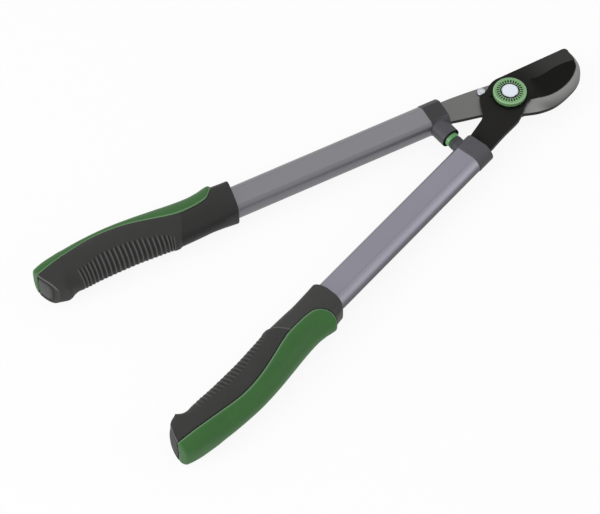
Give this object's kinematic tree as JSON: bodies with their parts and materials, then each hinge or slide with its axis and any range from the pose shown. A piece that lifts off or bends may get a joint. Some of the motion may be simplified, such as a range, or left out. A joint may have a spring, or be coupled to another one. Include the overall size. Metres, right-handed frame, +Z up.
{
  "type": "bypass lopper",
  "caption": "Long handled bypass lopper, closed, with a black blade passing a grey steel hook, oval tube handles, two-colour grips, a slotted tension disc and a bumper.",
  "frame": {"origin": "pivot axis at the level of the bolt's free end, the plane that the closed tool lies on", "axes": "+X from the handles to the jaws, +Y towards the handle that carries the hook, +Z up along the pivot axis through the adjusting disc"},
  "size_m": [0.5272, 0.2382, 0.0324],
  "materials": {
    "blade_black": "satin black non-stick coating",
    "hook_steel": "satin ground steel",
    "bolt_zinc": "bright zinc plated",
    "disc_green": "satin green",
    "washer_zinc": "zinc plated",
    "nut_zinc": "zinc plated",
    "pin_steel": "bright turned steel",
    "tube_grey": "matt anodised, light grey",
    "ferrule_slate": "dark slate grey, fine grain",
    "insert_black": "plain black, hidden",
    "rivet_steel": "plain, hidden",
    "core_black": "charcoal, satin",
    "pad_black": "charcoal soft overmould, matt",
    "cover_green": "mid green, satin",
    "bumper_green": "bright green, matt",
    "bumper_pad_black": "black, matt"
  },
  "bodies": {
    "hook_side": {"hook": "hook_steel", "hook_handle_tube": "tube_grey", "hook_ferrule": "ferrule_slate", "hook_tang_insert": "insert_black", "hook_tang_rivet_1": "rivet_steel", "hook_tang_rivet_2": "rivet_steel", "hook_grip_core": "core_black", "hook_grip_pad": "pad_black", "hook_grip_cover": "cover_green", "bumper": "bumper_green", "stop_pin": "pin_steel", "pivot_nut": "nut_zinc", "rear_washer": "washer_zinc"},
    "blade_side": {"cutting_blade": "blade_black", "blade_handle_tube": "tube_grey", "blade_ferrule": "ferrule_slate", "blade_tang_insert": "insert_black", "blade_tang_rivet_1": "rivet_steel", "blade_tang_rivet_2": "rivet_steel", "blade_grip_core": "core_black", "blade_grip_pad": "pad_black", "blade_grip_cover": "cover_green", "bumper_pad": "bumper_pad_black"},
    "adjuster": {"adjusting_disc": "disc_green", "pivot_bolt": "bolt_zinc"}
  },
  "joints": [
    {"name": "blade_pivot", "type": "hinge", "parent": "hook_side", "child": "blade_side", "pos_m": [0, 0, 0.016], "axis": [0, 0, 1], "range_deg": [0, 63]},
    {"name": "adjuster_turn", "type": "hinge", "parent": "hook_side", "child": "adjuster", "pos_m": [0, 0, 0.016], "axis": [0, 0, 1], "range_deg": [-180, 180]}
  ]
}
